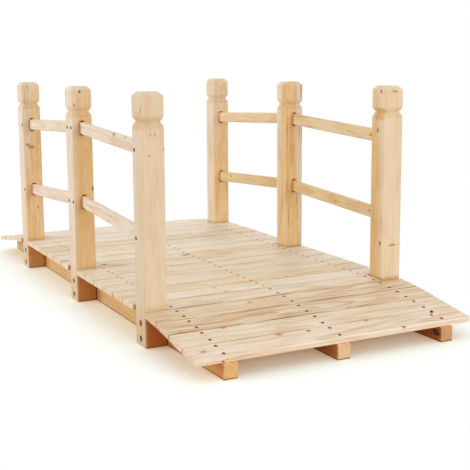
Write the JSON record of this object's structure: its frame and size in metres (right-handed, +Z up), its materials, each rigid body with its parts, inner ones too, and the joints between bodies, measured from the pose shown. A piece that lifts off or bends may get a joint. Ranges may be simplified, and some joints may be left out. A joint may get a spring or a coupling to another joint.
{
  "type": "garden footbridge",
  "caption": "Low softwood garden footbridge with a level boarded deck, a short ramp at each end, square posts with carved heads and two rails along each side.",
  "frame": {"origin": "on the ground under the middle of the bridge, at the centre of its overall length and width", "axes": "+X along the bridge towards the front end, +Y across it towards the right side, +Z up"},
  "size_m": [1.5, 0.675, 0.55],
  "materials": {
    "stringer_timber": "planed softwood, bare",
    "deck_timber": "planed softwood, bare",
    "post_timber": "planed softwood, bare",
    "rail_timber": "planed softwood, bare",
    "screw_steel": "dark, dull"
  },
  "bodies": {
    "root": {"stringer_left": "stringer_timber", "stringer_middle": "stringer_timber", "stringer_right": "stringer_timber", "deck_board_01": "deck_timber", "deck_board_02": "deck_timber", "deck_board_03": "deck_timber", "deck_board_04": "deck_timber", "deck_board_05": "deck_timber", "deck_board_06": "deck_timber", "deck_board_07": "deck_timber", "deck_board_08": "deck_timber", "deck_board_09": "deck_timber", "deck_board_10": "deck_timber", "deck_board_11": "deck_timber", "deck_board_12": "deck_timber", "deck_board_13": "deck_timber", "deck_board_14": "deck_timber", "deck_board_15": "deck_timber", "deck_board_16": "deck_timber", "deck_board_17": "deck_timber", "deck_board_18": "deck_timber", "deck_board_19": "deck_timber", "deck_board_20": "deck_timber", "deck_board_21": "deck_timber", "deck_board_22": "deck_timber", "deck_board_23": "deck_timber", "post_front_left": "post_timber", "post_middle_left": "post_timber", "post_back_left": "post_timber", "rail_upper_front_left": "rail_timber", "rail_upper_back_left": "rail_timber", "rail_lower_front_left": "rail_timber", "rail_lower_back_left": "rail_timber", "coach_screws_left": "screw_steel", "post_front_right": "post_timber", "post_middle_right": "post_timber", "post_back_right": "post_timber", "rail_upper_front_right": "rail_timber", "rail_upper_back_right": "rail_timber", "rail_lower_front_right": "rail_timber", "rail_lower_back_right": "rail_timber", "coach_screws_right": "screw_steel"}
  },
  "joints": []
}
